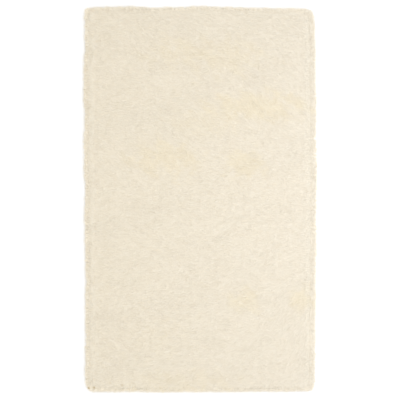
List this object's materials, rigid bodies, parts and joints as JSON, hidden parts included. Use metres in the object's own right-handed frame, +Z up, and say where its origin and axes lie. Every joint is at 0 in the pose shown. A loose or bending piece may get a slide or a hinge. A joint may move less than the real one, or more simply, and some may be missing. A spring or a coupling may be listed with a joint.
{
  "type": "shag rug",
  "caption": "Rectangular cream shag rug lying flat, long leaning pile from edge to edge, slightly uneven sides and rounded corners.",
  "frame": {"origin": "middle of the flat underside, on the floor", "axes": "+Y along the rug's length, +X across its width, +Z up through the pile"},
  "size_m": [0.914, 1.524, 0.036],
  "materials": {
    "pile": "long soft cream pile, matt with a faint sheen along the strands",
    "backing": "plain woven backing cloth, off-white, matt"
  },
  "bodies": {
    "root": {"shag_rug": "pile"}
  },
  "joints": []
}
